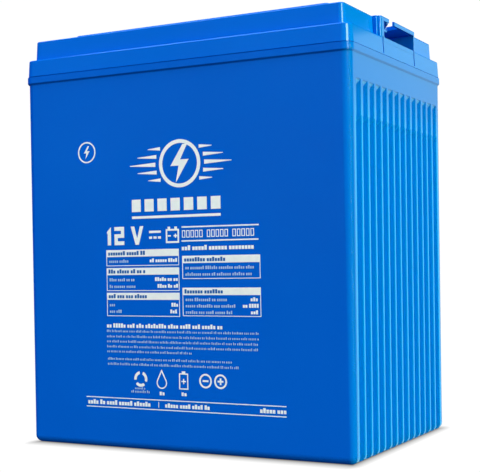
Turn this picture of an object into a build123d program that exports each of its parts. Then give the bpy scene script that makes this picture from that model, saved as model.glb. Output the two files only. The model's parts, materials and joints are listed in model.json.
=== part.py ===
from build123d import *
import math
import os

# A deep cycle battery in the 260 x 181 mm golf-cart footprint: a ribbed container with six cells,
# a lid sealed on to it, a vent cover plate, and two screw terminals in wells at its left end.
# Millimetres. +Z is up, +X runs along the long side, the printed long face looks towards -Y, and
# the origin is under the middle of the base. Pieces named 1 to 6 follow the current from the
# positive terminal: cells 1 to 3 along the front, 4 to 6 back along the rear.

os.makedirs("parts", exist_ok=True)

# ---- container -----------------------------------------------------------------------------
LENGTH = 260.0                 # over the rim, along X
WIDTH = 181.0                  # over the rim, along Y
RIM_LOW = 262.2                # underside of the rim band
SEAM = 267.7                   # top of the container, where the lid is sealed on
RIM_STEP = 1.1                 # how far the rim stands out from the wall below it
RIM_CHAMFER = 1.0
DRAFT = 0.4                    # degrees that each wall leans in towards the base
CORNER_R = 6.5                 # upright corners of container, rim and lid skirt
BASE_R = 5.0                   # rounding along the bottom edges
FLOOR = 5.0
PARTITION = 2.4
CELLS_LONG = 3                 # cells along X
CELLS_WIDE = 2                 # cells along Y
CELL_X = 78.8                  # inside of one cell
CELL_Y = 83.8
CAVITY_R = 2.0

# ---- rib grooves on the two short ends ------------------------------------------------------
GROOVES = 14
GROOVE_PITCH = 11.58
GROOVE_MOUTH = 7.2             # width between the lips above the step
GROOVE_DEPTH = 3.2
GROOVE_TOP = 246.2             # where the 45 degree run-out reaches the wall
DEEP_MOUTH = 9.0               # and below the step, where the ribs are thinner
DEEP_DEPTH = 4.0
DEEP_TOP = 222.7
GROOVE_LEAN = 0.12             # how much each side of a groove closes in for each mm of depth
GROOVE_LIP_R = 0.7             # rounding of a groove's two long edges

# ---- lid ------------------------------------------------------------------------------------
LEDGE = 280.2                  # top of the lid's skirt
LID_TOP = 294.5                # top of its raised block
SKIRT_STEP = 0.45              # how far the skirt's foot stands in from the rim
SKIRT_LEAN = 3.2               # degrees
LEDGE_R = 1.0
BLOCK_INSET_X = 6.0            # raised block in from the rim at the short ends
BLOCK_INSET_Y = 4.4            # and along the long sides
BLOCK_R = 4.0
BLOCK_LEAN = 3.2               # degrees
BLOCK_EDGE_R = 1.0
LID_WALL = 3.2
SEAM_GROOVE = 0.6              # height of the fine sealing groove over the rim
SEAM_GROOVE_DEPTH = 1.2

# ---- lifting pocket at each short end -------------------------------------------------------
TOWER_HALF = 34.0              # half width of the panel that stands out over the pocket
TOWER_ROOT_HALF = 35.4         # its wider root
TOWER_ROOT_OUT = 2.6           # how far the root stands out from the raised block
TOWER_EDGE_R = 2.0
POCKET_Y0 = -28.5
POCKET_Y1 = 30.5
POCKET_DEPTH = 30.0
BAR_LOW = 291.5                # underside of the bar over the pocket's mouth and of its roof
BAR_THICK = 1.7
SLOT_Y0 = -18.7                # slot through the bar, for the loop of a lifting strap
SLOT_Y1 = -8.2
HATCH_X = 113.6                # inner corner of the three-cornered hatch that the slot opens into
HATCH_Y = 7.5
HATCH_OUTER = 3.0              # Y where the hatch meets the bar again
HATCH_R = 2.5
NIB_LOW = 284.4                # rounded nib on the near side of the mouth, which keeps a strap in
NIB_HIGH = 286.1
NIB_LENGTH = 5.5
NIB_DEPTH = 6.0
SIDE_LINE_Y = 30.8             # fine upright lines on the skirt beside the pocket
SIDE_LINE = 1.6
SIDE_LINE_DEPTH = 0.9

# ---- terminal wells at the left end ---------------------------------------------------------
TERMINAL_X = -105.0
TERMINAL_Y = 64.0
WELL_X0 = -119.5
WELL_X1 = -91.5
WELL_Y0 = 47.0
WELL_Y1 = 81.5
WELL_FLOOR = 282.7
WELL_R = 4.0
NOTCH_HALF = 8.0               # cable notch from the well out through the left end
NOTCH_FLOOR = 284.2
WELL_WALL = 2.6

# ---- vent cover plate and relief valves -----------------------------------------------------
PLATE_X0 = -88.0
PLATE_X1 = 112.0
PLATE_INSET_Y = 2.8            # in from the raised block's long faces
PLATE_PROUD = 0.95
PLATE_SUNK = 1.5
PLATE_R = 3.0
PLATE_GAP = 0.15
PLATE_EDGE_R = 0.4
VALVE_SHIFT = 5.5              # valves from the middle of their cells, along X
VALVE_WELL_R = 11.0
VALVE_WELL_FLOOR = 281.0
NECK_R = 6.0
NECK_BORE_R = 3.5
NECK_TOP = 289.0
CAP_GAP = 0.05                 # running clearance of a valve cap round its neck
CAP_WALL = 1.6
CAP_LOW = 282.4
CAP_SEAT_GAP = 0.05
CAP_HIGH = 291.2
RETAINER_LOW = 292.2           # pad under the plate that limits a cap's lift
RETAINER_R = 4.0
VENT_X = 97.0                  # the two vent holes in the plate
VENT_HOLE_R = 4.0
ARRESTOR_R = 7.0
ARRESTOR_THICK = 1.2

# ---- terminals, M8 --------------------------------------------------------------------------
POST_R = 8.0
POST_PAD_R = 11.0
POST_TOP = 285.2
PAD_THICK = 2.0
POST_HOLE_R = 8.6
O_RING_R = 1.0
INSERT_R = 5.8
INSERT_LENGTH = 17.0
THREAD_R = 4.05                # bore that the bolt's shank turns in
BOLT_R = 4.0
BOLT_LENGTH = 16.0             # under the head
BOLT_HEAD = 5.3
BOLT_FLATS = 13.0
FLAT_WASHER_R = 8.0
FLAT_WASHER = 1.6
SPRING_WASHER_R = 6.4
SPRING_WASHER = 2.0
SPRING_WASHER_SLIT = 1.0
WASHER_BORE_R = 4.2
SEAL_R = 13.0
SEAL_THICK = 0.5

# ---- cells ----------------------------------------------------------------------------------
POSITIVES = 9
NEGATIVES = 10
POSITIVE_PLATE = 3.4
NEGATIVE_PLATE = 2.4
SEPARATOR = 1.3
PLATE_LOW = 10.0
PLATE_HIGH = 236.0
PLATE_HALF_Y = 39.5
SEPARATOR_LOW = 6.0
SEPARATOR_HIGH = 239.0
SEPARATOR_HALF_Y = 41.0
LUG_HALF_Y = 7.0
STRAP_LOW = 245.0
STRAP_HIGH = 252.0
STRAP_Y = 21.0                 # strap centre lines, from the middle of a cell
STRAP_HALF_Y = 8.0
STRAP_END_GAP = 1.5
TAB_THICK = 4.0                # upright tab of a strap at a partition
TAB_HIGH = 262.0
NUGGET_R = 5.0
NUGGET_Z = 255.0

# ---- worked out from the above --------------------------------------------------------------
WALL_LENGTH = LENGTH - 2 * RIM_STEP
WALL_WIDTH = WIDTH - 2 * RIM_STEP
BLOCK_LENGTH = LENGTH - 2 * BLOCK_INSET_X
BLOCK_WIDTH = WIDTH - 2 * BLOCK_INSET_Y
SKIRT_LENGTH = LENGTH - 2 * SKIRT_STEP
SKIRT_WIDTH = WIDTH - 2 * SKIRT_STEP
CELL_STEP_X = CELL_X + PARTITION
CELL_STEP_Y = CELL_Y + PARTITION
INNER_X = CELLS_LONG * CELL_X + (CELLS_LONG - 1) * PARTITION
INNER_Y = CELLS_WIDE * CELL_Y + (CELLS_WIDE - 1) * PARTITION
STACK = POSITIVES * POSITIVE_PLATE + NEGATIVES * NEGATIVE_PLATE + 2 * POSITIVES * SEPARATOR
PLATE_HALF_WIDTH = BLOCK_WIDTH / 2 - PLATE_INSET_Y
PLATE_BED = LID_TOP - PLATE_SUNK
PLATE_TOP = LID_TOP + PLATE_PROUD
TOWER_OUT = LENGTH / 2 - 0.9   # outer face of the pocket's tower, flush with the ledge
WASHER_TOP = POST_TOP + FLAT_WASHER
SPRING_TOP = WASHER_TOP + SPRING_WASHER
POLES = {"positive": -1, "negative": 1}


def box(x0, x1, y0, y1, z0, z1):
    middle = ((x0 + x1) / 2, (y0 + y1) / 2, (z0 + z1) / 2)
    return Pos(*middle) * Box(abs(x1 - x0), abs(y1 - y0), abs(z1 - z0))


def rod(x, y, z0, z1, radius):
    return Pos(x, y, (z0 + z1) / 2) * Cylinder(radius, z1 - z0)


def rounded_block(x0, x1, y0, y1, z0, z1, radius):
    outline = Pos((x0 + x1) / 2, (y0 + y1) / 2, z0) * RectangleRounded(x1 - x0, y1 - y0, radius)
    return extrude(outline, amount=z1 - z0)


def leaning_block(length, width, radius, z0, z1, lean):
    """A block that is length x width at z0 and leans in by lean degrees towards z1."""
    direction = 1 if z1 > z0 else -1
    outline = Pos(0, 0, z0) * RectangleRounded(length, width, radius)
    return extrude(outline, amount=abs(z1 - z0), dir=(0, 0, direction), taper=lean)


def edges_at(shape, z):
    return shape.edges().filter_by(lambda e: abs(e.bounding_box().min.Z - z) < 0.01
                                   and abs(e.bounding_box().max.Z - z) < 0.01)


def turned(shape):
    """The same shape at the opposite end."""
    return Rot(0, 0, 180) * shape


def one(shape):
    """The single solid of a boolean result."""
    return shape.solids()[0]


def cell_centres():
    """Cell middles in the order of the current: along the front, then back along the rear."""
    front = [((i - 1) * CELL_STEP_X, -CELL_STEP_Y / 2) for i in range(CELLS_LONG)]
    rear = [(x, -y) for x, y in reversed(front)]
    return front + rear


# ---- container ------------------------------------------------------------------------------
def groove_section(mouth):
    """Section of one groove in plan, mouth wide at the wall (x = 0), with rounded lips."""
    half = mouth / 2
    lip = GROOVE_LIP_R
    deep = 7.0
    root = half - GROOVE_LEAN * deep
    points = [(3.0, half + lip), (0.05, half + lip), (-lip * 0.3, half + lip * 0.3),
              (-lip, half), (-deep, root), (-deep, -root),
              (-lip, -half), (-lip * 0.3, -half - lip * 0.3), (0.05, -half - lip),
              (3.0, -half - lip)]
    return Polygon(*points, align=None)


def groove_cutters(mouth, depth, top):
    """The right-hand grooves as solids, down to depth, with a 45 degree run-out up to top."""
    core = leaning_block(WALL_LENGTH - 2 * depth, WALL_WIDTH, CORNER_R, RIM_LOW, 0, DRAFT)
    core = fillet(edges_at(core, 0), BASE_R - 1.0)
    wall = WALL_LENGTH / 2 - (RIM_LOW - top) * math.tan(math.radians(DRAFT))
    run_out = Plane.XZ * Polygon((0, top - wall), (LENGTH, top - wall + LENGTH), (LENGTH, 2 * RIM_LOW),
                                 (0, 2 * RIM_LOW), align=None)
    core += extrude(run_out, amount=WIDTH, both=True)
    prism = extrude(groove_section(mouth), amount=top + 5)
    first = -(GROOVES - 1) * GROOVE_PITCH / 2
    foot = WALL_LENGTH / 2 - (RIM_LOW + 2) * math.tan(math.radians(DRAFT))
    prisms = [Pos(foot, first + i * GROOVE_PITCH, -2) * Rot(0, DRAFT, 0) * prism
              for i in range(GROOVES)]
    return Compound(prisms) - core


def container():
    body = leaning_block(WALL_LENGTH, WALL_WIDTH, CORNER_R - 0.5, RIM_LOW, 0, DRAFT)
    body = fillet(edges_at(body, 0), BASE_R)
    rim = extrude(Pos(0, 0, RIM_LOW) * RectangleRounded(LENGTH, WIDTH, CORNER_R),
                  amount=SEAM - RIM_LOW)
    rim = chamfer(edges_at(rim, RIM_LOW), RIM_CHAMFER)
    body += rim
    for mouth, depth, top in ((GROOVE_MOUTH, GROOVE_DEPTH, GROOVE_TOP),
                              (DEEP_MOUTH, DEEP_DEPTH, DEEP_TOP)):
        cutters = groove_cutters(mouth, depth, top)
        body = body - cutters - turned(cutters)
    for x, y in cell_centres():
        body -= rounded_block(x - CELL_X / 2, x + CELL_X / 2, y - CELL_Y / 2, y + CELL_Y / 2,
                              FLOOR, SEAM + 1, CAVITY_R)
    for x, y, along in nugget_places():
        body -= Pos(x, y, NUGGET_Z) * (Rot(0, 90, 0) if along == "x" else Rot(90, 0, 0)) \
            * Cylinder(NUGGET_R, PARTITION + 1)
    return one(body)


def nugget_places():
    """Where the current passes through a partition: x, y and the direction it runs in."""
    outer = CELL_STEP_Y / 2 + STRAP_Y
    inner = CELL_STEP_Y / 2 - STRAP_Y
    half = CELL_STEP_X / 2
    right = CELL_STEP_X + CELL_X / 2 - CAVITY_R - TAB_THICK
    return [(-half, -inner, "x"), (half, -outer, "x"), (right, 0, "y"), (half, outer, "x"),
            (-half, inner, "x")]


# ---- lid ------------------------------------------------------------------------------------
def pocket_solid():
    """What stands out at the right end round the lifting pocket."""
    block_end = BLOCK_LENGTH / 2
    root = rounded_block(block_end - 10, block_end + TOWER_ROOT_OUT, -TOWER_ROOT_HALF,
                         TOWER_ROOT_HALF, LEDGE - 3, LID_TOP, 0.8)
    tower = rounded_block(block_end - 12, TOWER_OUT, -TOWER_HALF, TOWER_HALF, LEDGE - 3, LID_TOP,
                          TOWER_EDGE_R)
    both = root + tower
    return fillet(edges_at(both, LID_TOP), 0.6)


def pocket_hollow():
    """The hollow of the right-hand pocket, with its mouth, slot and hatch."""
    inner = TOWER_OUT - POCKET_DEPTH
    bar_back = TOWER_OUT - BAR_THICK
    hollow = box(inner, TOWER_OUT + 2, POCKET_Y0, POCKET_Y1, LEDGE, BAR_LOW)
    hollow = fillet(hollow.edges().filter_by(Axis.X).group_by(Axis.Z)[0], 1.5)
    slot = box(bar_back - 0.5, TOWER_OUT + 2, SLOT_Y0, SLOT_Y1, LEDGE + 4, LID_TOP + 5)
    slant = (HATCH_Y - SLOT_Y0) / (TOWER_OUT - HATCH_X)
    outline = Polygon((bar_back, SLOT_Y0 + BAR_THICK * slant), (bar_back, HATCH_OUTER),
                      (HATCH_X, HATCH_Y), align=None)
    outline = fillet(outline.vertices().sort_by(Axis.X)[0], HATCH_R)
    hatch = extrude(Pos(0, 0, LEDGE + 4) * outline, amount=LID_TOP + 1 - LEDGE)
    nib = box(TOWER_OUT - NIB_DEPTH, TOWER_OUT - 0.2, POCKET_Y0 - 1, POCKET_Y0 + NIB_LENGTH, NIB_LOW,
              NIB_HIGH)
    nib = fillet(nib.edges().filter_by(Axis.Y), 0.6)
    return hollow + slot + hatch - nib


def pocket_lining():
    """Material that closes the pocket off from the inside of the lid."""
    inner = TOWER_OUT - POCKET_DEPTH
    return box(inner - LID_WALL, TOWER_OUT - 2, POCKET_Y0 - LID_WALL, POCKET_Y1 + LID_WALL,
               LEDGE - LID_WALL, LID_TOP - 0.5)


def well_block(side, grow, floor, top):
    y0, y1 = sorted((side * WELL_Y0, side * WELL_Y1))
    return rounded_block(WELL_X0 - grow, WELL_X1 + grow, y0 - grow, y1 + grow, floor, top,
                         WELL_R + grow)


def valve_places():
    return [(x + VALVE_SHIFT, y) for x, y in cell_centres()]


def lid():
    skirt = leaning_block(SKIRT_LENGTH, SKIRT_WIDTH, CORNER_R, SEAM, LEDGE, SKIRT_LEAN)
    skirt = fillet(edges_at(skirt, LEDGE), LEDGE_R)
    block = leaning_block(BLOCK_LENGTH, BLOCK_WIDTH, BLOCK_R, LEDGE - 1, LID_TOP, BLOCK_LEAN)
    block = fillet(edges_at(block, LID_TOP), BLOCK_EDGE_R)
    tower = pocket_solid()
    shell = skirt + block + tower + turned(tower)
    seam_cut = extrude(Pos(0, 0, SEAM) * (RectangleRounded(LENGTH + 4, WIDTH + 4, CORNER_R + 2)
               - RectangleRounded(LENGTH - 2 * SEAM_GROOVE_DEPTH - 1, WIDTH
               - 2 * SEAM_GROOVE_DEPTH - 1, CORNER_R - 1)), amount=SEAM_GROOVE)
    shell -= seam_cut
    hollow = extrude(Pos(0, 0, SEAM - 1) * RectangleRounded(INNER_X, INNER_Y, CAVITY_R),
                     amount=LEDGE - LID_WALL + 1 - SEAM)
    head = extrude(Pos(0, 0, SEAM - 1) * RectangleRounded(BLOCK_LENGTH - 4 * LID_WALL,
                   BLOCK_WIDTH - 2 * LID_WALL, BLOCK_R), amount=PLATE_BED - LID_WALL + 1 - SEAM)
    inside = hollow + head
    lining = pocket_lining()
    kept = lining + turned(lining)
    for side in POLES.values():
        kept += well_block(side, WELL_WALL, WELL_FLOOR - WELL_WALL, LID_TOP)
    for x, y in valve_places():
        kept += rod(x, y, VALVE_WELL_FLOOR - LID_WALL, PLATE_BED, VALVE_WELL_R + LID_WALL)
    for i in range(1, CELLS_LONG):
        x = (i - CELLS_LONG / 2) * CELL_STEP_X
        kept += box(x - PARTITION / 2, x + PARTITION / 2, -INNER_Y / 2, INNER_Y / 2, SEAM,
                    PLATE_BED)
    kept += box(-INNER_X / 2, INNER_X / 2, -PARTITION / 2, PARTITION / 2, SEAM, PLATE_BED)
    shell -= inside - kept
    shell -= pocket_hollow()
    shell -= turned(pocket_hollow())
    for pole, side in POLES.items():
        y = side * TERMINAL_Y
        shell -= well_block(side, 0, WELL_FLOOR, LID_TOP + 1)
        shell -= box(-LENGTH / 2, WELL_X0 + 2, y - NOTCH_HALF, y + NOTCH_HALF, NOTCH_FLOOR,
                     LID_TOP + 1)
        shell -= rod(TERMINAL_X, y, SEAM, LID_TOP, POST_HOLE_R)
    shell -= rounded_block(PLATE_X0 - PLATE_GAP, PLATE_X1 + PLATE_GAP,
                           -PLATE_HALF_WIDTH - PLATE_GAP, PLATE_HALF_WIDTH + PLATE_GAP,
                           PLATE_BED, LID_TOP + 1, PLATE_R)
    for x, y in valve_places():
        well = rod(x, y, VALVE_WELL_FLOOR, PLATE_BED + 1, VALVE_WELL_R)
        shell -= well - rod(x, y, VALVE_WELL_FLOOR, NECK_TOP, NECK_R)
        shell -= rod(x, y, SEAM, LID_TOP, NECK_BORE_R)
    for end in (-1, 1):
        for y in (-SIDE_LINE_Y, SIDE_LINE_Y):
            groove = Pos(end * (LENGTH / 2 - 0.8), y, (SEAM + LEDGE) / 2 + 1) \
                * Rot(0, -end * SKIRT_LEAN, 0) * Box(SIDE_LINE_DEPTH * 2, SIDE_LINE, 11.5)
            shell -= groove
    return one(shell)


def vent_cover_plate():
    plate = rounded_block(PLATE_X0, PLATE_X1, -PLATE_HALF_WIDTH, PLATE_HALF_WIDTH, PLATE_BED,
                          PLATE_TOP, PLATE_R)
    plate = fillet(edges_at(plate, PLATE_TOP), PLATE_EDGE_R)
    channel = None
    for x, y in valve_places():
        disc = rod(x, y, PLATE_BED, PLATE_BED + 1.0, VALVE_WELL_R - 1)
        channel = disc if channel is None else channel + disc
    first = valve_places()[0]
    last = valve_places()[2]
    for side in (-1, 1):
        channel += box(first[0], VENT_X, side * first[1] - 2, side * first[1] + 2, PLATE_BED,
                       PLATE_BED + 1.0)
        channel += box(VENT_X - 2, VENT_X + 2, 0, side * last[1], PLATE_BED, PLATE_BED + 1.0)
        plate -= rod(VENT_X, side * 20, PLATE_BED, PLATE_BED + ARRESTOR_THICK, ARRESTOR_R)
        plate -= rod(VENT_X, side * 20, PLATE_BED, PLATE_TOP + 1, VENT_HOLE_R)
    for x, y in valve_places():
        channel -= rod(x, y, RETAINER_LOW, PLATE_TOP, RETAINER_R)
    plate -= channel
    for x, y in valve_places():
        plate += rod(x, y, RETAINER_LOW, PLATE_BED + 1.2, RETAINER_R)
    return one(plate)


def flame_arrestor_discs():
    return Compound([rod(VENT_X, side * 20, PLATE_BED, PLATE_BED + ARRESTOR_THICK, ARRESTOR_R)
                     for side in (-1, 1)])


def relief_valve(x, y):
    inner = NECK_R + CAP_GAP
    cap = rod(x, y, CAP_LOW, CAP_HIGH, inner + CAP_WALL)
    cap = fillet(edges_at(cap, CAP_HIGH), 1.0)
    return one(cap - rod(x, y, CAP_LOW - 1, NECK_TOP + CAP_SEAT_GAP, inner))


# ---- terminals ------------------------------------------------------------------------------
def terminal_post(y):
    post = rod(TERMINAL_X, y, STRAP_HIGH, POST_TOP, POST_R)
    post += rod(TERMINAL_X, y, POST_TOP - PAD_THICK, POST_TOP, POST_PAD_R)
    post = chamfer(edges_at(post, POST_TOP), 0.4)
    return one(post - rod(TERMINAL_X, y, POST_TOP - INSERT_LENGTH, POST_TOP + 1, INSERT_R))


def terminal_insert(y):
    low = POST_TOP - INSERT_LENGTH
    tube = rod(TERMINAL_X, y, low, POST_TOP, INSERT_R)
    return one(tube - rod(TERMINAL_X, y, low, POST_TOP + 1, THREAD_R))


def terminal_seal(y):
    ring = rod(TERMINAL_X, y, WELL_FLOOR, WELL_FLOOR + SEAL_THICK, SEAL_R)
    return one(ring - rod(TERMINAL_X, y, WELL_FLOOR - 1, POST_TOP, POST_R))


def post_o_rings():
    rings = []
    for side in POLES.values():
        low = WELL_FLOOR - WELL_WALL - 2 * O_RING_R
        ring = rod(TERMINAL_X, side * TERMINAL_Y, low, low + 2 * O_RING_R, POST_R + 2 * O_RING_R)
        rings.append(one(ring - rod(TERMINAL_X, side * TERMINAL_Y, low - 1, LID_TOP, POST_R)))
    return Compound(rings)


def terminal_bolt(y):
    head = extrude(Pos(TERMINAL_X, y, SPRING_TOP)
                   * RegularPolygon(BOLT_FLATS / 2, 6, major_radius=False), amount=BOLT_HEAD)
    dome = Pos(TERMINAL_X, y, SPRING_TOP + BOLT_HEAD) * Cone(BOLT_FLATS / 2 + 4.5,
                                                             BOLT_FLATS / 2 - 0.2, 3.6)
    head = head & (dome.translate((0, 0, -1.8)) + rod(TERMINAL_X, y, SPRING_TOP,
                                                      SPRING_TOP + BOLT_HEAD - 3.5, BOLT_FLATS))
    shank = rod(TERMINAL_X, y, SPRING_TOP - BOLT_LENGTH, SPRING_TOP, BOLT_R)
    shank = chamfer(edges_at(shank, SPRING_TOP - BOLT_LENGTH), 0.8)
    return one(head + shank)


def flat_washer(y):
    disc = rod(TERMINAL_X, y, POST_TOP, WASHER_TOP, FLAT_WASHER_R)
    disc = chamfer(edges_at(disc, WASHER_TOP), 0.3)
    return one(disc - rod(TERMINAL_X, y, POST_TOP - 1, WASHER_TOP + 1, WASHER_BORE_R))


def spring_washer(y):
    ring = rod(TERMINAL_X, y, WASHER_TOP, SPRING_TOP, SPRING_WASHER_R)
    ring -= rod(TERMINAL_X, y, WASHER_TOP - 1, SPRING_TOP + 1, WASHER_BORE_R)
    slit = Pos(TERMINAL_X + SPRING_WASHER_R - 1, y, (WASHER_TOP + SPRING_TOP) / 2) \
        * Rot(30, 0, 0) * Box(6, SPRING_WASHER_SLIT, 8)
    return one(ring - slit)


# ---- cells ----------------------------------------------------------------------------------
def positive_side(number):
    """Whether a cell's positive strap lies towards -Y (-1) or +Y (+1) of the cell's middle."""
    return (-1, 1, -1, -1, 1, -1)[number]


def plate_starts(x):
    """Left faces of the plates of a cell, alternating negative, positive, negative and so on."""
    negative, positive = [], []
    place = x - STACK / 2
    for i in range(POSITIVES + NEGATIVES):
        if i % 2 == 0:
            negative.append(place)
            place += NEGATIVE_PLATE + SEPARATOR
        else:
            positive.append(place)
            place += POSITIVE_PLATE + SEPARATOR
    return positive, negative


def plate_group(number, pole):
    x, y = cell_centres()[number]
    positive, negative = plate_starts(x)
    starts = positive if pole == "positive" else negative
    thick = POSITIVE_PLATE if pole == "positive" else NEGATIVE_PLATE
    side = positive_side(number) if pole == "positive" else -positive_side(number)
    strap_y = y + side * STRAP_Y
    x0 = x - CELL_X / 2 + STRAP_END_GAP
    x1 = x + CELL_X / 2 - STRAP_END_GAP
    group = box(x0, x1, strap_y - STRAP_HALF_Y, strap_y + STRAP_HALF_Y, STRAP_LOW, STRAP_HIGH)
    group = fillet(group.edges().filter_by(Axis.Z), 2.0)
    for start in starts:
        group += box(start, start + thick, y - PLATE_HALF_Y, y + PLATE_HALF_Y, PLATE_LOW,
                     PLATE_HIGH)
        group += box(start, start + thick, strap_y - LUG_HALF_Y, strap_y + LUG_HALF_Y, PLATE_HIGH,
                     STRAP_LOW + 1)
    for at_x, at_y, along in nugget_places():
        group = add_tab(group, x, y, strap_y, at_x, at_y, along)
    return one(group)


def add_tab(group, x, y, strap_y, at_x, at_y, along):
    """Adds the upright tab of this strap where its cell's partition carries a nugget."""
    if along == "x" and abs(at_y - strap_y) < 1 and abs(at_x - x) < CELL_STEP_X:
        face = x + (CELL_X / 2 if at_x > x else -CELL_X / 2)
        inward = -1 if at_x > x else 1
        return group + box(face, face + inward * TAB_THICK, strap_y - STRAP_HALF_Y,
                           strap_y + STRAP_HALF_Y, STRAP_LOW, TAB_HIGH)
    if along == "y" and abs(at_x - x) < CELL_STEP_X / 2 and abs(strap_y) < CELL_Y / 2:
        side = 1 if y > 0 else -1
        face = side * PARTITION / 2
        group += box(at_x - STRAP_HALF_Y, at_x + TAB_THICK, face, face + side * TAB_THICK,
                     STRAP_LOW, TAB_HIGH)
        return group + box(at_x - STRAP_HALF_Y, at_x + TAB_THICK, face, strap_y, STRAP_LOW,
                           STRAP_HIGH)
    return group


def separator_pack(number):
    """Folded glass-mat wraps, one round each positive plate."""
    x, y = cell_centres()[number]
    wraps = []
    for start in plate_starts(x)[0]:
        wrap = box(start - SEPARATOR, start + POSITIVE_PLATE + SEPARATOR, y - SEPARATOR_HALF_Y,
                   y + SEPARATOR_HALF_Y, SEPARATOR_LOW, SEPARATOR_HIGH)
        wrap -= box(start, start + POSITIVE_PLATE, y - SEPARATOR_HALF_Y - 1,
                    y + SEPARATOR_HALF_Y + 1, PLATE_LOW, SEPARATOR_HIGH + 1)
        wraps.append(one(wrap))
    return Compound(wraps)


def intercell_connectors():
    nuggets = []
    for x, y, along in nugget_places():
        turn = Rot(0, 90, 0) if along == "x" else Rot(90, 0, 0)
        nuggets.append(Pos(x, y, NUGGET_Z) * turn * Cylinder(NUGGET_R, PARTITION))
    return Compound(nuggets)


# ---- write one file per piece ---------------------------------------------------------------
def pieces():
    named = {"container": container(), "lid": lid(), "vent_cover_plate": vent_cover_plate(),
             "flame_arrestor_discs": flame_arrestor_discs(), "post_o_rings": post_o_rings(),
             "intercell_connectors": intercell_connectors()}
    for pole, side in POLES.items():
        y = side * TERMINAL_Y
        named[pole + "_terminal_post"] = terminal_post(y)
        named[pole + "_terminal_insert"] = terminal_insert(y)
        named[pole + "_terminal_seal"] = terminal_seal(y)
        named[pole + "_terminal_bolt"] = terminal_bolt(y)
        named[pole + "_flat_washer"] = flat_washer(y)
        named[pole + "_spring_washer"] = spring_washer(y)
    for number, (x, y) in enumerate(valve_places()):
        named["relief_valve_%d" % (number + 1)] = relief_valve(x, y)
        named["positive_plate_group_%d" % (number + 1)] = plate_group(number, "positive")
        named["negative_plate_group_%d" % (number + 1)] = plate_group(number, "negative")
        named["separator_pack_%d" % (number + 1)] = separator_pack(number)
    return named


for name, shape in pieces().items():
    export_step(shape, "parts/%s.step" % name)
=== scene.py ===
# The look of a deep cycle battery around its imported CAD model: moulded plastic, metal and resin
# materials for the CAD nodes, ink on the long face, and a pale studio. Metres, in the CAD's frame.

import json
import math
import random

import bmesh
import bpy
from mathutils import Matrix, Vector


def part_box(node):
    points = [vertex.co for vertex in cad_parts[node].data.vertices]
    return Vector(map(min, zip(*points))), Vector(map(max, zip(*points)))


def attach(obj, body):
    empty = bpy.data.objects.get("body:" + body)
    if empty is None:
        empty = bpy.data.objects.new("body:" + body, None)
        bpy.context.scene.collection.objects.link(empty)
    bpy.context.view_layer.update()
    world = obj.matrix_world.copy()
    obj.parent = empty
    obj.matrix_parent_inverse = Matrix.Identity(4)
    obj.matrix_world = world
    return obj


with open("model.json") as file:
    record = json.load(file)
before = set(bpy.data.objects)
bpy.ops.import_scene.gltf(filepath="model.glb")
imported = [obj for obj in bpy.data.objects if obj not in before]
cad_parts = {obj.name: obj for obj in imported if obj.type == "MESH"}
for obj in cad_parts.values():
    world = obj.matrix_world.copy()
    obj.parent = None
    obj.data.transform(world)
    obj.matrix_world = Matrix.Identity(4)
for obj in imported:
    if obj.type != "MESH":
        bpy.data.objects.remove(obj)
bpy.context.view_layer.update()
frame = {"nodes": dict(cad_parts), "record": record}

MM = 0.001
BODY = "battery"

# ---- places taken from the frame -----------------------------------------------------------
CASE_LOW, CASE_HIGH = (Vector(corner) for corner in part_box("container"))
RIM_STEP = 1.1 * MM              # how far the rim band stands out from the printed wall
RIM_LOW = CASE_HIGH.z - 5.5 * MM
WALL_DRAFT = math.radians(0.4)
FOOT_X = CASE_HIGH.x - RIM_STEP - RIM_LOW * math.tan(WALL_DRAFT)    # end wall's X at the floor
RIB_HALF = 83.5 * MM             # the ribbed zone reaches this far to each side
GROOVE_TOP = CASE_HIGH.z - 21.5 * MM
# painted light on the ribbed end walls: a lighter crest tone, lighter groove sides and a painted highlight
# on the slanted groove run-outs
RIB_CREST_PAINTED_LIGHT = (0.0, 0.18, 0.84)
RIB_SIDE_PAINTED_LIGHT = (0.0, 0.205, 0.84)
RIB_END_PAINTED_HIGHLIGHT = (0.10, 0.27, 0.95)
INK_PROUD = 0.05 * MM            # printed ink over the wall
INK_SUNK = 0.05 * MM
OVERPRINT = 0.05 * MM            # second colour over the first
WORD_GAP = 0.5                   # space between two words, in steps from block to block

# ---- camera ---------------------------------------------------------------------------------
CAMERA_AT = (0.40086, -0.74457, 0.12925)
CAMERA_YAW = 28.285
CAMERA_PITCH = 1.336
CAMERA_ROLL = -0.915
CAMERA_LENS = 84.31


def make_camera():
    """The one camera, on the side that shows the printed face and the right-hand end."""
    data = bpy.data.cameras.new("camera")
    data.sensor_width = 36.0
    data.lens = CAMERA_LENS
    camera = bpy.data.objects.new("camera", data)
    bpy.context.scene.collection.objects.link(camera)
    turn = Matrix.Rotation(math.radians(CAMERA_YAW), 4, "Z")
    tilt = Matrix.Rotation(math.radians(90 + CAMERA_PITCH), 4, "X")
    roll = Matrix.Rotation(math.radians(CAMERA_ROLL), 4, "Z")
    camera.matrix_world = Matrix.Translation(CAMERA_AT) @ turn @ tilt @ roll
    bpy.context.scene.camera = camera


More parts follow.
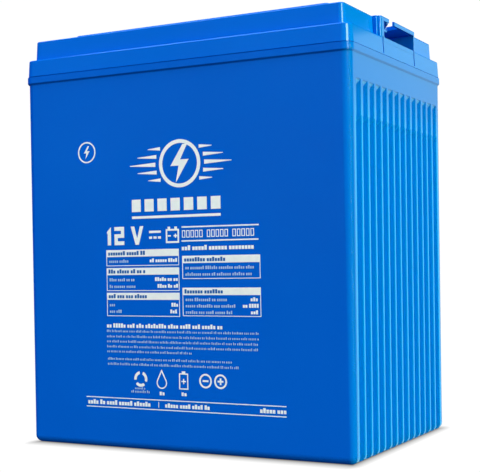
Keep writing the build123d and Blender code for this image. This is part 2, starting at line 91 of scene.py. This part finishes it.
# ---- materials ------------------------------------------------------------------------------
class Shader:
    """A node material with a principled shader and a few short-hands."""

    def __init__(self, name):
        self.material = bpy.data.materials.new(name)
        self.material.use_nodes = True
        self.nodes = self.material.node_tree.nodes
        self.links = self.material.node_tree.links
        self.main = self.nodes["Principled BSDF"]
        self.place = self.nodes.new("ShaderNodeTexCoord")

    def noise(self, scale, detail=3.0, stretch=(1, 1, 1), roughness=0.5):
        mapping = self.nodes.new("ShaderNodeMapping")
        mapping.inputs["Scale"].default_value = stretch
        self.links.new(self.place.outputs["Object"], mapping.inputs["Vector"])
        node = self.nodes.new("ShaderNodeTexNoise")
        node.inputs["Scale"].default_value = scale
        node.inputs["Detail"].default_value = detail
        node.inputs["Roughness"].default_value = roughness
        self.links.new(mapping.outputs["Vector"], node.inputs["Vector"])
        return node.outputs["Fac"]

    def spread(self, value, low, high, out_low=0.0, out_high=1.0):
        node = self.nodes.new("ShaderNodeMapRange")
        node.inputs["From Min"].default_value = low
        node.inputs["From Max"].default_value = high
        node.inputs["To Min"].default_value = out_low
        node.inputs["To Max"].default_value = out_high
        self.links.new(value, node.inputs["Value"])
        return node.outputs["Result"]

    def mix(self, factor, first, second):
        node = self.nodes.new("ShaderNodeMix")
        node.data_type = "RGBA"
        self.links.new(factor, node.inputs["Factor"])
        for socket, colour in ((node.inputs["A"], first), (node.inputs["B"], second)):
            if isinstance(colour, tuple):
                socket.default_value = colour + (1.0,)
            else:
                self.links.new(colour, socket)
        return node.outputs["Result"]

    def math(self, operation, *values):
        node = self.nodes.new("ShaderNodeMath")
        node.operation = operation
        for socket, value in zip(node.inputs, values):
            if isinstance(value, float):
                socket.default_value = value
            else:
                self.links.new(value, socket)
        return node.outputs[0]

    def axes(self):
        node = self.nodes.new("ShaderNodeSeparateXYZ")
        self.links.new(self.place.outputs["Object"], node.inputs[0])
        return list(node.outputs)

    def colour(self, value):
        if isinstance(value, tuple):
            self.main.inputs["Base Color"].default_value = value + (1.0,)
        else:
            self.links.new(value, self.main.inputs["Base Color"])

    def rough(self, value):
        if isinstance(value, float):
            self.main.inputs["Roughness"].default_value = value
        else:
            self.links.new(value, self.main.inputs["Roughness"])

    def bump(self, height, strength, distance, below=None):
        node = self.nodes.new("ShaderNodeBump")
        node.inputs["Strength"].default_value = strength
        node.inputs["Distance"].default_value = distance
        self.links.new(height, node.inputs["Height"])
        if below is not None:
            self.links.new(below, node.inputs["Normal"])
        self.links.new(node.outputs["Normal"], self.main.inputs["Normal"])
        return node.outputs["Normal"]

    def set(self, **values):
        names = {"metal": "Metallic", "specular": "Specular IOR Level", "coat": "Coat Weight",
                 "coat_rough": "Coat Roughness"}
        for key, value in values.items():
            self.main.inputs[names[key]].default_value = value
        return self


def moulded_blue(name, light, dark, rib_light=False):
    """Glossy moulded polypropylene with a very fine mould grain, and with painted light on the ribs of the
    end walls where asked.
    """
    shader = Shader(name)
    cloud = shader.spread(shader.noise(9.0, 3.0), 0.35, 0.65)
    body = shader.mix(cloud, dark, light)
    if rib_light:
        # painted light mixed into the colour of the ribbed end walls
        crest_light, sides, end_highlight = rib_painted_light(shader)
        body = shader.mix(crest_light, body, RIB_CREST_PAINTED_LIGHT)
        body = shader.mix(sides, body, RIB_SIDE_PAINTED_LIGHT)
        body = shader.mix(end_highlight, body, RIB_END_PAINTED_HIGHLIGHT)
    shader.colour(body)
    shader.rough(shader.spread(shader.noise(35.0, 4.0), 0.3, 0.7, 0.09, 0.12))
    shader.bump(shader.noise(1400.0, 2.0), 0.04, 0.00005)
    shader.set(specular=0.4)
    return shader.material


def rib_painted_light(shader):
    """Painted light on the ribs of the end walls: masks for a lighter painted tone on the rib crest faces,
    lighter painted groove sides, and a painted highlight on the slanted groove run-outs.
    """
    x, y, z = shader.axes()
    wall = shader.math("MULTIPLY_ADD", z, math.tan(WALL_DRAFT), FOOT_X)
    depth = shader.math("SUBTRACT", wall, shader.math("ABSOLUTE", x))
    below_top = shader.math("SUBTRACT", GROOVE_TOP, z)
    zone = shader.spread(shader.math("ABSOLUTE", y), RIB_HALF, RIB_HALF - 1.5 * MM)
    # the rib crest faces get a lighter painted tone, fading in below the groove tops
    crest_light = shader.math("MULTIPLY", zone, shader.spread(below_top, 0.0, 30 * MM))
    under_run_out = shader.spread(shader.math("SUBTRACT", below_top, depth), 0.0, 0.4 * MM)
    grooves = shader.math("MULTIPLY", zone, shader.spread(depth, 0.3 * MM, 1.0 * MM))
    # painted light: the groove sides get a lighter painted tone
    sides = shader.math("MULTIPLY", grooves, under_run_out)
    # what is left of each groove, its slanted run-out end, gets a painted highlight
    return crest_light, sides, shader.math("SUBTRACT", grooves, sides)


def cast_lead(name, light, dark):
    shader = Shader(name)
    shader.colour(shader.mix(shader.noise(160.0, 5.0), dark, light))
    shader.rough(shader.spread(shader.noise(90.0, 4.0), 0.3, 0.7, 0.42, 0.62))
    shader.bump(shader.noise(420.0, 4.0), 0.25, 0.0002)
    shader.set(metal=0.85)
    return shader.material


def pasted_plate(name, light, dark):
    shader = Shader(name)
    shader.colour(shader.mix(shader.noise(220.0, 6.0, (1, 1, 0.6)), dark, light))
    shader.rough(0.85)
    shader.bump(shader.noise(900.0, 5.0), 0.5, 0.0002)
    return shader.material


def steel(name):
    shader = Shader(name)
    shader.colour(shader.mix(shader.noise(300.0, 4.0), (0.50, 0.50, 0.49), (0.66, 0.66, 0.64)))
    shader.rough(shader.spread(shader.noise(500.0, 3.0, (1, 1, 6)), 0.3, 0.7, 0.2, 0.34))
    shader.bump(shader.noise(700.0, 3.0, (1, 1, 5)), 0.08, 0.0001)
    shader.set(metal=1.0)
    return shader.material


def brass(name):
    shader = Shader(name)
    shader.colour(shader.mix(shader.noise(200.0, 4.0), (0.55, 0.38, 0.14), (0.72, 0.53, 0.22)))
    shader.rough(0.3)
    shader.set(metal=1.0)
    return shader.material


def black_rubber(name):
    shader = Shader(name)
    shader.colour(shader.mix(shader.noise(80.0, 4.0), (0.012, 0.012, 0.013), (0.03, 0.03, 0.03)))
    shader.rough(shader.spread(shader.noise(120.0, 3.0), 0.3, 0.7, 0.55, 0.75))
    shader.bump(shader.noise(1200.0, 3.0), 0.2, 0.0001)
    return shader.material


def resin(name, light, dark):
    shader = Shader(name)
    shader.colour(shader.mix(shader.noise(60.0, 3.0), dark, light))
    shader.rough(0.16)
    shader.bump(shader.noise(130.0, 2.0), 0.15, 0.0003)
    shader.set(coat=0.5, coat_rough=0.06)
    return shader.material


def fibre(name, light, dark):
    shader = Shader(name)
    shader.colour(shader.mix(shader.noise(500.0, 5.0, (1, 1, 0.25)), dark, light))
    shader.rough(0.95)
    shader.bump(shader.noise(1500.0, 5.0, (1, 1, 0.3)), 0.5, 0.0002)
    return shader.material


def ink(name, light, dark):
    """Screen-printed ink: thin, slightly uneven, less glossy than the plastic under it."""
    shader = Shader(name)
    shader.colour(shader.mix(shader.spread(shader.noise(240.0, 4.0), 0.3, 0.7), dark, light))
    shader.rough(shader.spread(shader.noise(120.0, 3.0), 0.3, 0.7, 0.42, 0.58))
    shader.bump(shader.noise(2200.0, 3.0), 0.1, 0.00004)
    shader.set(specular=0.25)
    return shader.material


CASE = moulded_blue("case_blue", (0.0, 0.097, 0.640), (0.0, 0.091, 0.615), rib_light=True)
LID = moulded_blue("lid_blue", (0.0, 0.110, 0.680), (0.0, 0.104, 0.655))
WHITE_INK = ink("white_ink", (0.76, 0.76, 0.90), (0.70, 0.71, 0.87))
FINE_INK = ink("fine_ink", (0.36, 0.46, 0.76), (0.26, 0.38, 0.70))
BLUE_INK = ink("blue_ink", (0.0, 0.10, 0.42), (0.0, 0.085, 0.38))
SLOT_MATERIALS = {
    "case_blue": CASE,
    "lid_blue": LID,
    "porous_disc": fibre("porous_disc", (0.80, 0.80, 0.77), (0.62, 0.62, 0.60)),
    "black_rubber": black_rubber("black_rubber"),
    "lead": cast_lead("lead", (0.40, 0.41, 0.43), (0.24, 0.25, 0.27)),
    "brass_insert": brass("brass_insert"),
    "red_resin": resin("red_resin", (0.55, 0.010, 0.008), (0.42, 0.006, 0.006)),
    "black_resin": resin("black_resin", (0.016, 0.016, 0.017), (0.008, 0.008, 0.009)),
    "bolt_steel": steel("bolt_steel"),
    "washer_steel": steel("washer_steel"),
    "positive_plate": pasted_plate("positive_plate", (0.12, 0.06, 0.04), (0.06, 0.03, 0.02)),
    "negative_plate": pasted_plate("negative_plate", (0.30, 0.31, 0.32), (0.18, 0.19, 0.20)),
    "glass_mat": fibre("glass_mat", (0.86, 0.86, 0.84), (0.72, 0.72, 0.70)),
}


def dress_nodes():
    """Gives every CAD node the material of its slot."""
    for subpart in frame["record"]["subparts"]:
        node = frame["nodes"][subpart["node"]]
        material = SLOT_MATERIALS[subpart["material_slot"]]
        if not node.material_slots:
            node.data.materials.append(material)
        for slot in node.material_slots:
            slot.material = material


# ---- print on the long face -----------------------------------------------------------------
def wall_y(z):
    """Where the printed wall's surface is at height z."""
    return CASE_LOW.y + RIM_STEP + (RIM_LOW - z) * math.tan(WALL_DRAFT)


class Print:
    """Flat ink shapes on the printed wall, each a thin closed prism. Input in mm, x and z."""

    def __init__(self, name, material, lift=0.0):
        self.name = name
        self.material = material
        self.lift = lift
        self.mesh = bmesh.new()

    def shape(self, points, hole=None):
        """A prism over a polygon, or over the band between a polygon and a hole of equal count."""
        rings = [points] if hole is None else [points, hole]
        front, back = [], []
        for ring in rings:
            front.append([self.point(x, z, INK_PROUD + self.lift) for x, z in ring])
            back.append([self.point(x, z, -INK_SUNK) for x, z in ring])
        count = len(points)
        for i in range(count):
            j = (i + 1) % count
            if hole is not None:
                self.face(front[0][i], front[0][j], front[1][j], front[1][i])
                self.face(back[0][j], back[0][i], back[1][i], back[1][j])
                self.face(front[1][i], front[1][j], back[1][j], back[1][i])
            self.face(front[0][j], front[0][i], back[0][i], back[0][j])
        if hole is None:
            self.face(*front[0])
            self.face(*reversed(back[0]))

    def point(self, x, z, out):
        z = z * MM
        return self.mesh.verts.new((x * MM, wall_y(z) - out, z))

    def face(self, *corners):
        self.mesh.faces.new(corners)

    def bar(self, x0, x1, z0, z1):
        self.shape([(x0, z0), (x1, z0), (x1, z1), (x0, z1)])

    def frame(self, x0, x1, z0, z1, line):
        self.shape([(x0, z0), (x1, z0), (x1, z1), (x0, z1)],
                   [(x0 + line, z0 + line), (x1 - line, z0 + line),
                    (x1 - line, z1 - line), (x0 + line, z1 - line)])

    def ring(self, x, z, outer, inner, sides=48):
        self.shape(arc(x, z, outer, 0, 360, sides)[:-1], arc(x, z, inner, 0, 360, sides)[:-1])

    def band(self, x, z, outer, inner, start, end, sides=12):
        self.shape(arc(x, z, outer, start, end, sides) + arc(x, z, inner, end, start, sides))

    def words(self, x0, x1, z, height, weight=0.78, seed=1):
        """Rows of small blocks, word by word, that stand in for a line of small print."""
        dice = random.Random(seed)
        step = height * 0.72
        x = x0
        while x < x1 - step:
            for _ in range(dice.choice((2, 3, 4, 5, 6, 7, 8))):
                if x > x1 - step * 0.7:
                    break
                tall = height * dice.choice((0.72, 0.72, 0.72, 1.0))
                self.bar(x, x + step * weight, z, z + tall)
                x += step
            x += step * WORD_GAP

    def done(self):
        data = bpy.data.meshes.new(self.name)
        bmesh.ops.recalc_face_normals(self.mesh, faces=self.mesh.faces)
        self.mesh.to_mesh(data)
        self.mesh.free()
        data.materials.append(self.material)
        piece = bpy.data.objects.new(self.name, data)
        bpy.context.scene.collection.objects.link(piece)
        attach(piece, BODY)
        return piece


def arc(x, z, radius, start, end, sides):
    turns = [math.radians(start + (end - start) * i / sides) for i in range(sides + 1)]
    return [(x + radius * math.cos(t), z + radius * math.sin(t)) for t in turns]


def bolt_outline(x, z, size):
    """A lightning flash, size high, about its middle."""
    points = [(0.10, 0.50), (-0.28, -0.06), (-0.03, -0.06), (-0.12, -0.50), (0.28, 0.10),
              (0.02, 0.10), (0.24, 0.50)]
    return [(x + px * size, z + pz * size) for px, pz in points]


def badge():
    """A small flash in a ring."""
    mark = Print("print_badge", WHITE_INK)
    x, z = -75.4, 209.4
    mark.ring(x, z, 7.6, 6.6)
    mark.shape(bolt_outline(x, z, 9.0))
    mark.done()


def emblem():
    """A plain flash in a ring with speed lines on both sides."""
    mark = Print("print_emblem", WHITE_INK)
    x, z, radius = 2.0, 197.5, 16.5
    mark.ring(x, z, radius, radius - 2.6)
    mark.shape(bolt_outline(x, z, 26.0))
    for row in range(5):
        height = z + (row - 2) * 5.4
        reach = math.sqrt(radius ** 2 - (height - z) ** 2) + 3.0
        length = 21.0 - abs(row - 2) * 5.5
        thick = 1.5 - 0.15 * abs(row - 2)
        for side in (-1, 1):
            near = x + side * reach
            far = near + side * length
            mark.shape([(near, height - thick), (far, height - 0.2), (far, height + 0.2),
                        (near, height + thick)][::side])
    mark.done()


def headline():
    """An even row of upright blocks over a slim bar."""
    mark = Print("print_headline", WHITE_INK)
    left, blocks, width, gap = -37.5, 7, 7.4, 3.2
    for i in range(blocks):
        x = left + i * (width + gap)
        mark.bar(x, x + width, 165.4, 174.0)
    mark.bar(left, left + blocks * (width + gap) - gap, 160.6, 162.4)
    mark.done()


def digits():
    """12 V, the direct-current sign and the outline of a battery."""
    mark = Print("print_rating", WHITE_INK)
    low, high, line = 142.6, 155.4, 2.7
    mark.shape([(-59.0, high - 3.4), (-55.6, high), (-55.6, low), (-58.4, low), (-58.4, high - 4.4),
                (-59.0, high - 4.6)][::-1])
    x = -52.6
    wide = 8.2
    mark.bar(x, x + wide, high - line, high)
    mark.bar(x + wide - line, x + wide, (low + high) / 2 + line / 2, high - line)
    mark.bar(x, x + wide, (low + high) / 2 - line / 2, (low + high) / 2 + line / 2)
    mark.bar(x, x + line, low + line, (low + high) / 2 - line / 2)
    mark.bar(x, x + wide, low, low + line)
    x = -38.8
    mark.shape([(x, high), (x + 3.9, low), (x + 6.6, low), (x + 10.5, high), (x + 7.6, high),
                (x + 5.25, low + 4.4), (x + 2.9, high)])
    x = -23.6
    mark.bar(x, x + 9.6, 150.4, 152.0)
    for i in range(3):
        mark.bar(x + i * 3.6, x + i * 3.6 + 2.4, 146.4, 148.0)
    x = -9.0
    mark.frame(x - 1.0, x + 9.6, low + 0.6, high - 2.6, 1.2)
    mark.bar(x + 0.6, x + 2.6, high - 2.6, high - 1.0)
    mark.bar(x + 6.0, x + 8.0, high - 2.6, high - 1.0)
    mark.bar(x + 0.6, x + 3.0, 147.6, 148.6)
    mark.bar(x + 5.4, x + 8.2, 147.6, 148.6)
    mark.bar(x + 6.3, x + 7.3, 148.6, 149.5)
    mark.bar(x + 6.3, x + 7.3, 146.7, 147.6)
    mark.done()


def strap_line():
    """Open boxes between two rules, over a line of small blocks."""
    mark = Print("print_strap_line", WHITE_INK)
    mark.bar(2.8, 62.0, 153.4, 154.3)
    mark.bar(2.6, 61.6, 143.9, 144.8)
    x = 3.0
    for _ in range(3):
        for _ in range(5):
            mark.frame(x, x + 2.6, 146.6, 151.6, 0.55)
            x += 3.4
        x += 2.6
    mark.words(2.6, 61.4, 138.0, 3.3, weight=0.8, seed=4)
    mark.done()


# Tables of ratings: left, right, top, header height, bottom, and rows with value widths.
TABLES = (
    (-59.8, 0.2, 139.2, 4.9, 127.9, ((130.2, 17, 22),)),
    (-59.8, 0.2, 126.5, 4.9, 110.4, ((117.2, 22, 18), (112.5, 22, 16))),
    (-59.9, 0.2, 109.1, 4.9, 92.7, ((99.6, 5, 5), (95.0, 11, 6))),
    (2.8, 62.6, 134.2, 5.0, 118.5, ((125.0, 54, 0), (120.6, 52, 0))),
    (2.6, 62.6, 112.5, 5.0, 93.2, ((103.4, 34, 6), (99.1, 41, 12), (94.8, 36, 6))),
)


def tables():
    """Framed tables, each with a solid header, rows of labels and, in most, values."""
    lines = Print("print_tables", WHITE_INK)
    labels = Print("print_table_labels", FINE_INK)
    marks = Print("print_table_headings", BLUE_INK, lift=OVERPRINT)
    for number, (left, right, top, header, bottom, rows) in enumerate(TABLES):
        lines.bar(left, right, top - header, top)
        lines.shape([(left, bottom), (right, bottom), (right, top - header), (right - 0.45, top - header),
                     (right - 0.45, bottom + 0.45), (left + 0.45, bottom + 0.45),
                     (left + 0.45, top - header), (left, top - header)])
        marks.words(left + 1.6, left + 34.0, top - header + 1.1, 2.9, seed=20 + number)
        for row, (z, words, value) in enumerate(rows):
            labels.words(left + 2.4, left + 2.4 + words, z, 2.2, weight=0.66, seed=40 + number * 5 + row)
            if value:
                lines.words(right - 1.6 - value, right - 1.2, z, 2.6, seed=70 + number * 5 + row)
    lines.done()
    labels.done()
    marks.done()


def small_print():
    """One heading, a paragraph and a shorter one, all in blocks."""
    mark = Print("print_small_lines", WHITE_INK)
    mark.words(-60.3, 35.0, 84.6, 3.0, weight=0.74, seed=91)
    mark.done()
    mark = Print("print_small_text", FINE_INK)
    for row, (z, end) in enumerate(((81.4, 61.0), (77.7, 61.0), (74.2, 61.0), (70.6, 61.0), (67.2, 11.0))):
        mark.words(-60.4, end, z, 1.7, weight=0.52, seed=100 + row)
    for row, (z, end) in enumerate(((62.0, 41.0), (58.4, 46.0))):
        mark.words(-59.9, end, z, 1.7, weight=0.52, seed=110 + row)
    mark.done()


def sign_captions():
    """Two short rows of blocks under the first sign."""
    mark = Print("print_sign_captions", FINE_INK)
    mark.words(-40.6, -25.0, 39.6, 1.8, weight=0.6, seed=121)
    mark.words(-37.4, -28.6, 42.0, 1.6, weight=0.6, seed=122)
    mark.done()


def icons():
    """Four plain signs: a three-part ring, a drop, an upright cell and a pair of poles."""
    mark = Print("print_signs", WHITE_INK)
    for start in (100, 220, 340):
        mark.band(-32.6, 49.2, 5.4, 3.4, start, start + 88)
    x, z, radius = -15.4, 47.2, 4.2
    outer = arc(x, z, radius, 150, 390, 20) + [(x, z + 9.2)]
    inner = arc(x, z, radius - 0.8, 150, 390, 20) + [(x, z + 7.2)]
    mark.shape(outer, inner)
    mark.bar(-17.2, -15.6, 38.6, 41.0)
    mark.bar(-15.0, -13.4, 38.6, 40.6)
    x = 2.2
    mark.frame(x - 3.6, x + 3.6, 43.2, 54.2, 0.8)
    mark.bar(x - 1.4, x + 1.4, 54.2, 55.6)
    mark.bar(x - 1.8, x + 1.8, 48.3, 49.1)
    mark.bar(x - 0.4, x + 0.4, 49.1, 50.5)
    mark.bar(x - 0.4, x + 0.4, 46.9, 48.3)
    mark.bar(x - 1.8, x - 0.2, 38.8, 41.2)
    mark.bar(x + 0.4, x + 2.0, 38.8, 40.8)
    for x in (19.4, 31.0):
        mark.ring(x, 49.6, 4.9, 3.7)
        mark.bar(x - 2.2, x + 2.2, 49.0, 50.2)
    mark.bar(30.4, 31.6, 50.2, 51.8)
    mark.bar(30.4, 31.6, 47.4, 49.0)
    mark.done()


def footer():
    """Blocks between two rules along the foot of the face."""
    mark = Print("print_footer", WHITE_INK)
    mark.bar(-79.0, 79.6, 34.9, 35.5)
    mark.bar(-79.0, 79.6, 28.2, 28.8)
    mark.words(-77.6, -24.0, 30.3, 3.2, seed=131)
    mark.bar(-18.4, -18.0, 30.0, 34.0)
    mark.words(-13.0, 24.0, 30.3, 3.0, seed=132)
    mark.words(60.4, 79.4, 30.3, 3.2, seed=133)
    mark.done()


# ---- stage ----------------------------------------------------------------------------------
ROOM_LIGHT = 0.16                # soft light from all round, not seen in the gloss
BASE_ROUND = 3.5 * MM            # the rounded bottom edge stands off the floor this far in
# The contact shadow below is painted into the floor's glow.
SHADOW_REACH = 17 * MM           # how far the soft contact shadow reaches over the floor
END_SHADOW = 1.9                 # it is this much narrower at the two ends
SHADOW_CURVE = 0.65              # how fast it fades, as a power of the distance
SHADOW_DEPTH = 0.2               # brightness of the floor right beside the base
PAPER_WHITE = 1.02               # brightness of the clear floor and of the space behind it
FLOOR_HALF = 6.0


def make_floor():
    """A floor that glows white, with a soft contact shadow painted into its glow that follows the base's
    outline.
    """
    mesh = bmesh.new()
    bmesh.ops.create_grid(mesh, x_segments=1, y_segments=1, size=FLOOR_HALF)
    data = bpy.data.meshes.new("floor")
    mesh.to_mesh(data)
    mesh.free()
    floor = bpy.data.objects.new("floor", data)
    bpy.context.scene.collection.objects.link(floor)
    shader = Shader("floor_white")
    sideways = [shader.math("ABSOLUTE", value) for value in shader.axes()[:2]]
    foot = RIM_LOW * math.tan(WALL_DRAFT) + RIM_STEP + BASE_ROUND
    beyond = [shader.math("MAXIMUM", shader.math("SUBTRACT", value, size - foot), 0.0)
              for value, size in zip(sideways, (CASE_HIGH.x, CASE_HIGH.y))]
    beyond[0] = shader.math("MULTIPLY", beyond[0], END_SHADOW)
    squares = [shader.math("MULTIPLY", value, value) for value in beyond]
    distance = shader.math("SQRT", shader.math("ADD", squares[0], squares[1]))
    # painted contact shadow: the floor's glow darkens towards the base
    share = shader.math("POWER", shader.spread(distance, 0.0, SHADOW_REACH), SHADOW_CURVE)
    light = shader.spread(share, 0.0, 1.0, SHADOW_DEPTH, PAPER_WHITE)
    shader.colour((0.0, 0.0, 0.0))
    shader.set(specular=0.0)
    shader.main.inputs["Emission Color"].default_value = (1, 1, 1, 1)
    shader.links.new(light, shader.main.inputs["Emission Strength"])
    data.materials.append(shader.material)
    floor.visible_glossy = False
    floor.visible_diffuse = False


def add_light(name, data, toward):
    """A light that shines from the direction toward, seen from the object."""
    light = bpy.data.objects.new(name, data)
    bpy.context.scene.collection.objects.link(light)
    light.rotation_euler = Vector(toward).to_track_quat("Z", "Y").to_euler()
    light.visible_camera = False
    return light


def soft_sun(name, toward, factor, spread, colour=(1, 1, 1)):
    """Diffuse light: factor is the share of a facing surface's colour that it brings out."""
    data = bpy.data.lights.new(name, "SUN")
    data.energy = factor * math.pi
    data.angle = math.radians(spread)
    data.color = colour
    light = add_light(name, data, toward)
    light.visible_glossy = False


def panel(name, centre, aim, size, radiance, colour, gloss=True):
    """A panel that only the gloss shows, or one that only lights the surfaces."""
    data = bpy.data.lights.new(name, "AREA")
    data.shape = "RECTANGLE"
    data.size, data.size_y = size
    data.energy = radiance * math.pi * size[0] * size[1]
    data.color = colour
    light = add_light(name, data, Vector(centre) - Vector(aim))
    light.location = centre
    light.visible_diffuse = not gloss
    light.visible_glossy = gloss


def around(azimuth, distance, height):
    """A place round the object; azimuth in degrees from the printed face towards the right end."""
    turn = math.radians(azimuth)
    return (math.sin(turn) * distance, -math.cos(turn) * distance, height)


def make_lights():
    soft_sun("front", around(-25, 1.0, 0.45), 0.29, 50)
    soft_sun("right", around(84, 1.0, 0.12), 1.0, 30, (2.0, 3.0, 1.1))
    soft_sun("top", (0.1, -0.1, 1.0), 1.1, 60)
    soft_sun("back", around(205, 1.0, 0.4), 0.8, 50)
    soft_sun("left", around(-110, 1.0, 0.3), 0.35, 50)
    cyan = (0.70, 0.97, 1.0)
    panel("front_high", (-0.4, -1.1, 1.3), (0, -0.09, 0.2), (1.2, 0.8), 2.8, (1, 1, 1), gloss=False)
    panel("back_right", (0.32, 0.52, 0.04), (0.13, 0, 0.04), (0.6, 0.775), 1.0, cyan)
    panel("corner_strip", around(57, 2.0, 0.82), (0.13, 0.0, 0.5), (0.8, 0.34), 17.0, cyan)
    panel("overhead", (-0.6, -0.1, 2.3), (0.0, 0.0, 0.2), (1.3, 1.6), 6.0, (0.40, 0.85, 1.0))


def make_world():
    """White behind the object for the camera, and a dim grey room for its diffuse light."""
    world = bpy.data.worlds.new("world")
    bpy.context.scene.world = world
    world.use_nodes = True
    nodes = world.node_tree.nodes
    links = world.node_tree.links
    path = nodes.new("ShaderNodeLightPath")
    total = nodes.new("ShaderNodeMath")
    total.operation = "ADD"
    for i, (ray, strength) in enumerate((("Is Camera Ray", PAPER_WHITE), ("Is Diffuse Ray", ROOM_LIGHT))):
        share = nodes.new("ShaderNodeMath")
        share.operation = "MULTIPLY"
        share.inputs[1].default_value = strength
        links.new(path.outputs[ray], share.inputs[0])
        links.new(share.outputs[0], total.inputs[i])
    background = nodes["Background"]
    links.new(total.outputs[0], background.inputs["Strength"])
    background.inputs["Color"].default_value = (1, 1, 1, 1)


def build():
    """The camera, the materials of the CAD nodes, the print, the floor, the lights and the world."""
    make_camera()
    dress_nodes()
    for part in (badge, emblem, headline, digits, strap_line, tables, small_print, icons,
                 sign_captions, footer):
        part()
    make_floor()
    make_lights()
    make_world()
    bpy.context.scene.view_settings.view_transform = "Standard"


build()
bpy.context.view_layer.update()
